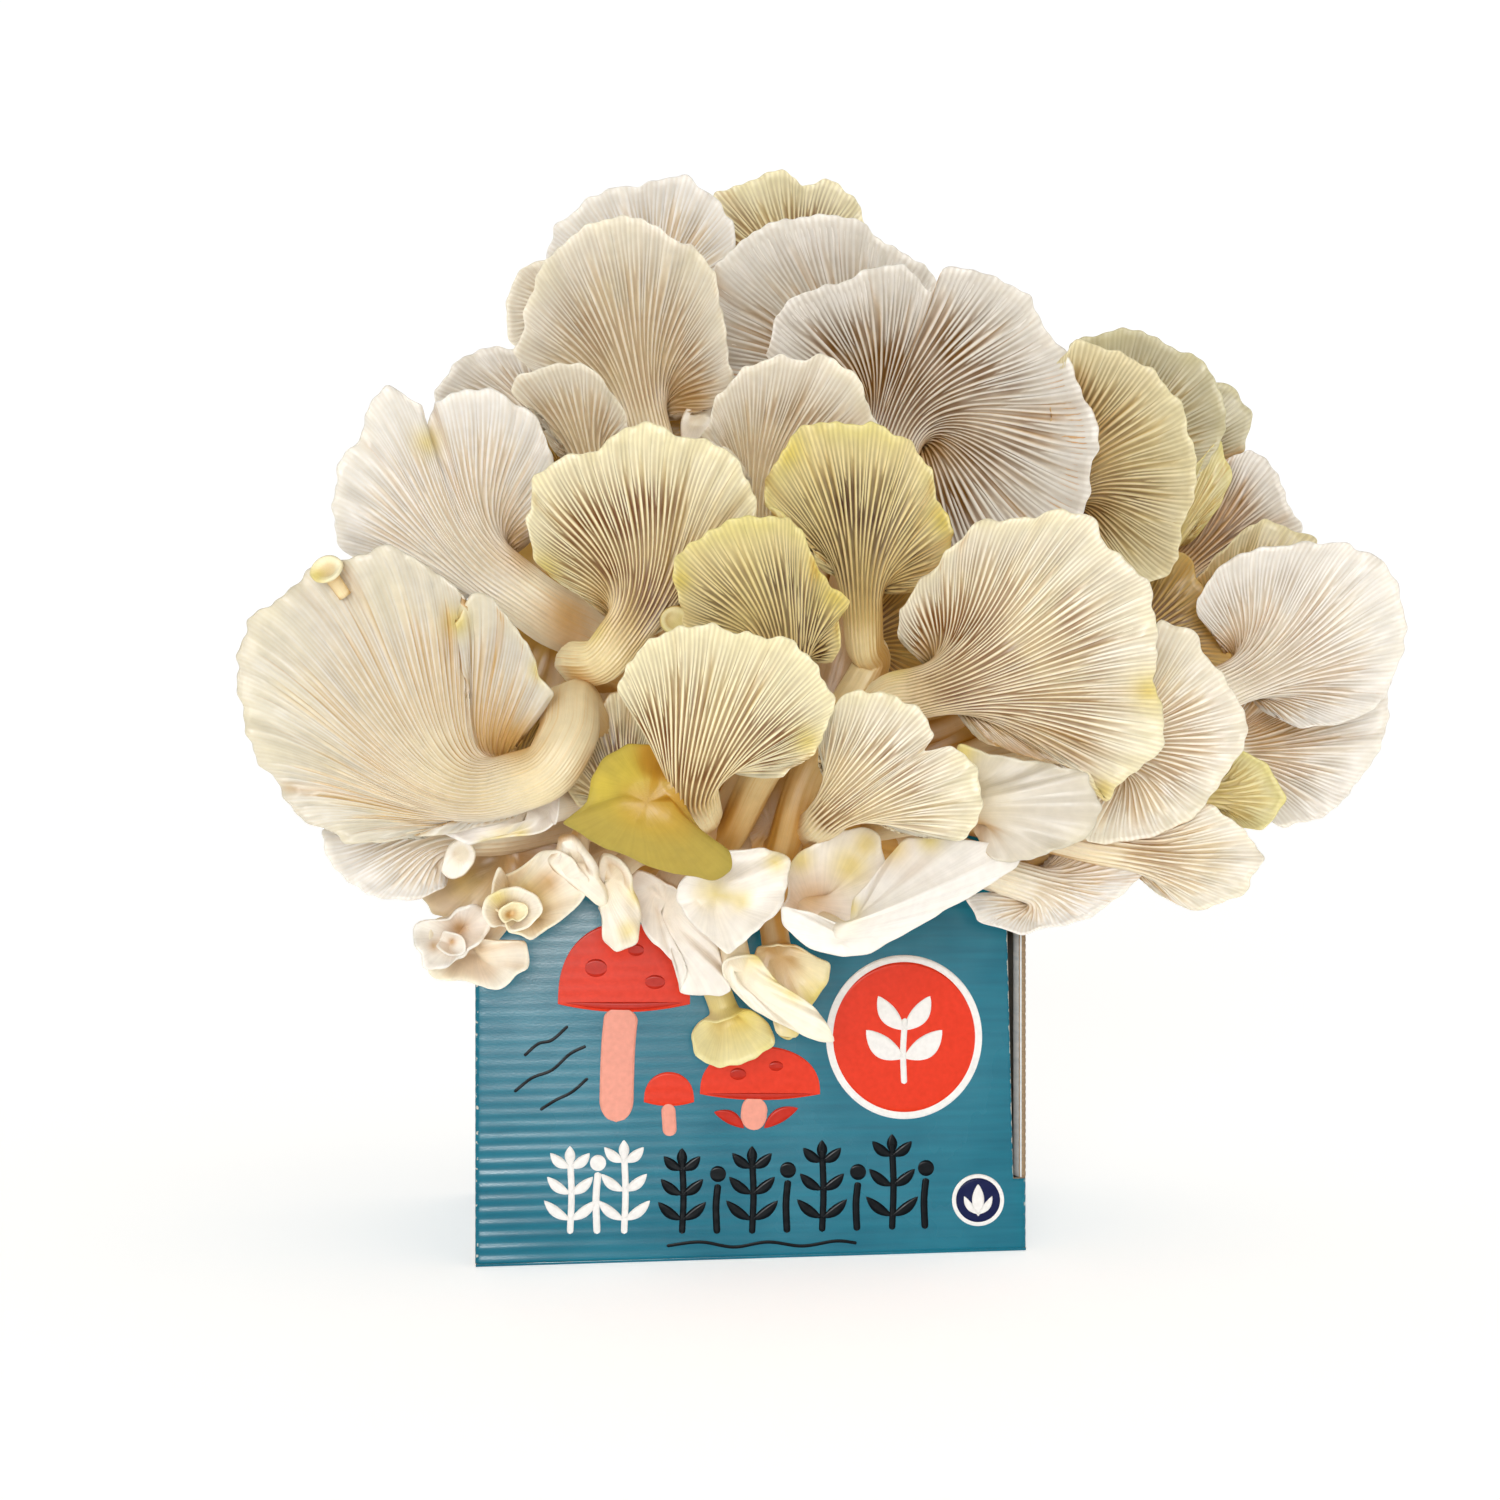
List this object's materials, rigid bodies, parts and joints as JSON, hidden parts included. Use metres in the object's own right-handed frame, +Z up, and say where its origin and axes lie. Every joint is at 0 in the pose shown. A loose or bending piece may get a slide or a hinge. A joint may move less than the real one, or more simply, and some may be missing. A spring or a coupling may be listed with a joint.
{
  "type": "oyster mushroom grow kit",
  "caption": "Carton of printed corrugated board with a front window, a grow block inside, and a wide cluster of ruffled oyster mushrooms growing out of the window and above the box.",
  "frame": {"origin": "middle of the carton's underside", "axes": "+Z up, the printed front panel faces -Y, +X to the right of someone looking at the front panel"},
  "size_m": [0.4103, 0.255, 0.405],
  "materials": {
    "printed_board": "teal print on thin corrugated board, satin",
    "grow_block": "damp sawdust and straw overgrown with white mycelium",
    "stem_butts": "tan, matte, fused stem bases",
    "mushroom_cream": "cream flesh, matte with a faint sheen",
    "mushroom_yellow": "flesh stained yellow, matte with a faint sheen"
  },
  "bodies": {
    "root": {"carton": "printed_board", "grow_block": "grow_block", "mushroom_back_left": "mushroom_cream", "mushroom_back_left_low": "mushroom_cream", "mushroom_behind_fold": "mushroom_cream", "mushroom_big_left": "mushroom_cream", "mushroom_big_right": "mushroom_cream", "mushroom_centre_back": "mushroom_cream", "mushroom_centre_left": "mushroom_cream", "mushroom_curled_low": "mushroom_cream", "mushroom_curled_small": "mushroom_cream", "mushroom_far_right": "mushroom_cream", "mushroom_far_right_low": "mushroom_cream", "mushroom_fold_left": "mushroom_cream", "mushroom_front_centre": "mushroom_cream", "mushroom_front_right": "mushroom_cream", "mushroom_front_trough": "mushroom_cream", "mushroom_left": "mushroom_cream", "mushroom_lower_centre": "mushroom_cream", "mushroom_lower_left": "mushroom_cream", "mushroom_lower_right": "mushroom_cream", "mushroom_lower_right_small": "mushroom_cream", "mushroom_lower_tan": "mushroom_cream", "mushroom_lower_white": "mushroom_cream", "mushroom_lower_yellow": "mushroom_yellow", "mushroom_pointed": "mushroom_cream", "mushroom_right_back": "mushroom_cream", "mushroom_right_dark": "mushroom_cream", "mushroom_right_edge": "mushroom_cream", "mushroom_right_fan": "mushroom_cream", "mushroom_right_front": "mushroom_cream", "mushroom_right_middle": "mushroom_cream", "mushroom_right_ruffle": "mushroom_cream", "mushroom_small_upper_left": "mushroom_cream", "mushroom_small_yellow_right": "mushroom_yellow", "mushroom_tongue": "mushroom_cream", "mushroom_top_back": "mushroom_cream", "mushroom_top_left": "mushroom_cream", "mushroom_top_right_back": "mushroom_cream", "mushroom_upper_back": "mushroom_cream", "mushroom_upper_right": "mushroom_cream", "mushroom_white_sheet": "mushroom_cream", "mushroom_white_side": "mushroom_cream", "mushroom_yellow_centre": "mushroom_yellow", "mushroom_yellow_far": "mushroom_yellow", "mushroom_yellow_fold": "mushroom_yellow", "mushroom_yellow_right": "mushroom_yellow", "stem_butts": "stem_butts", "young_mushroom_finger": "mushroom_cream"}
  },
  "joints": []
}
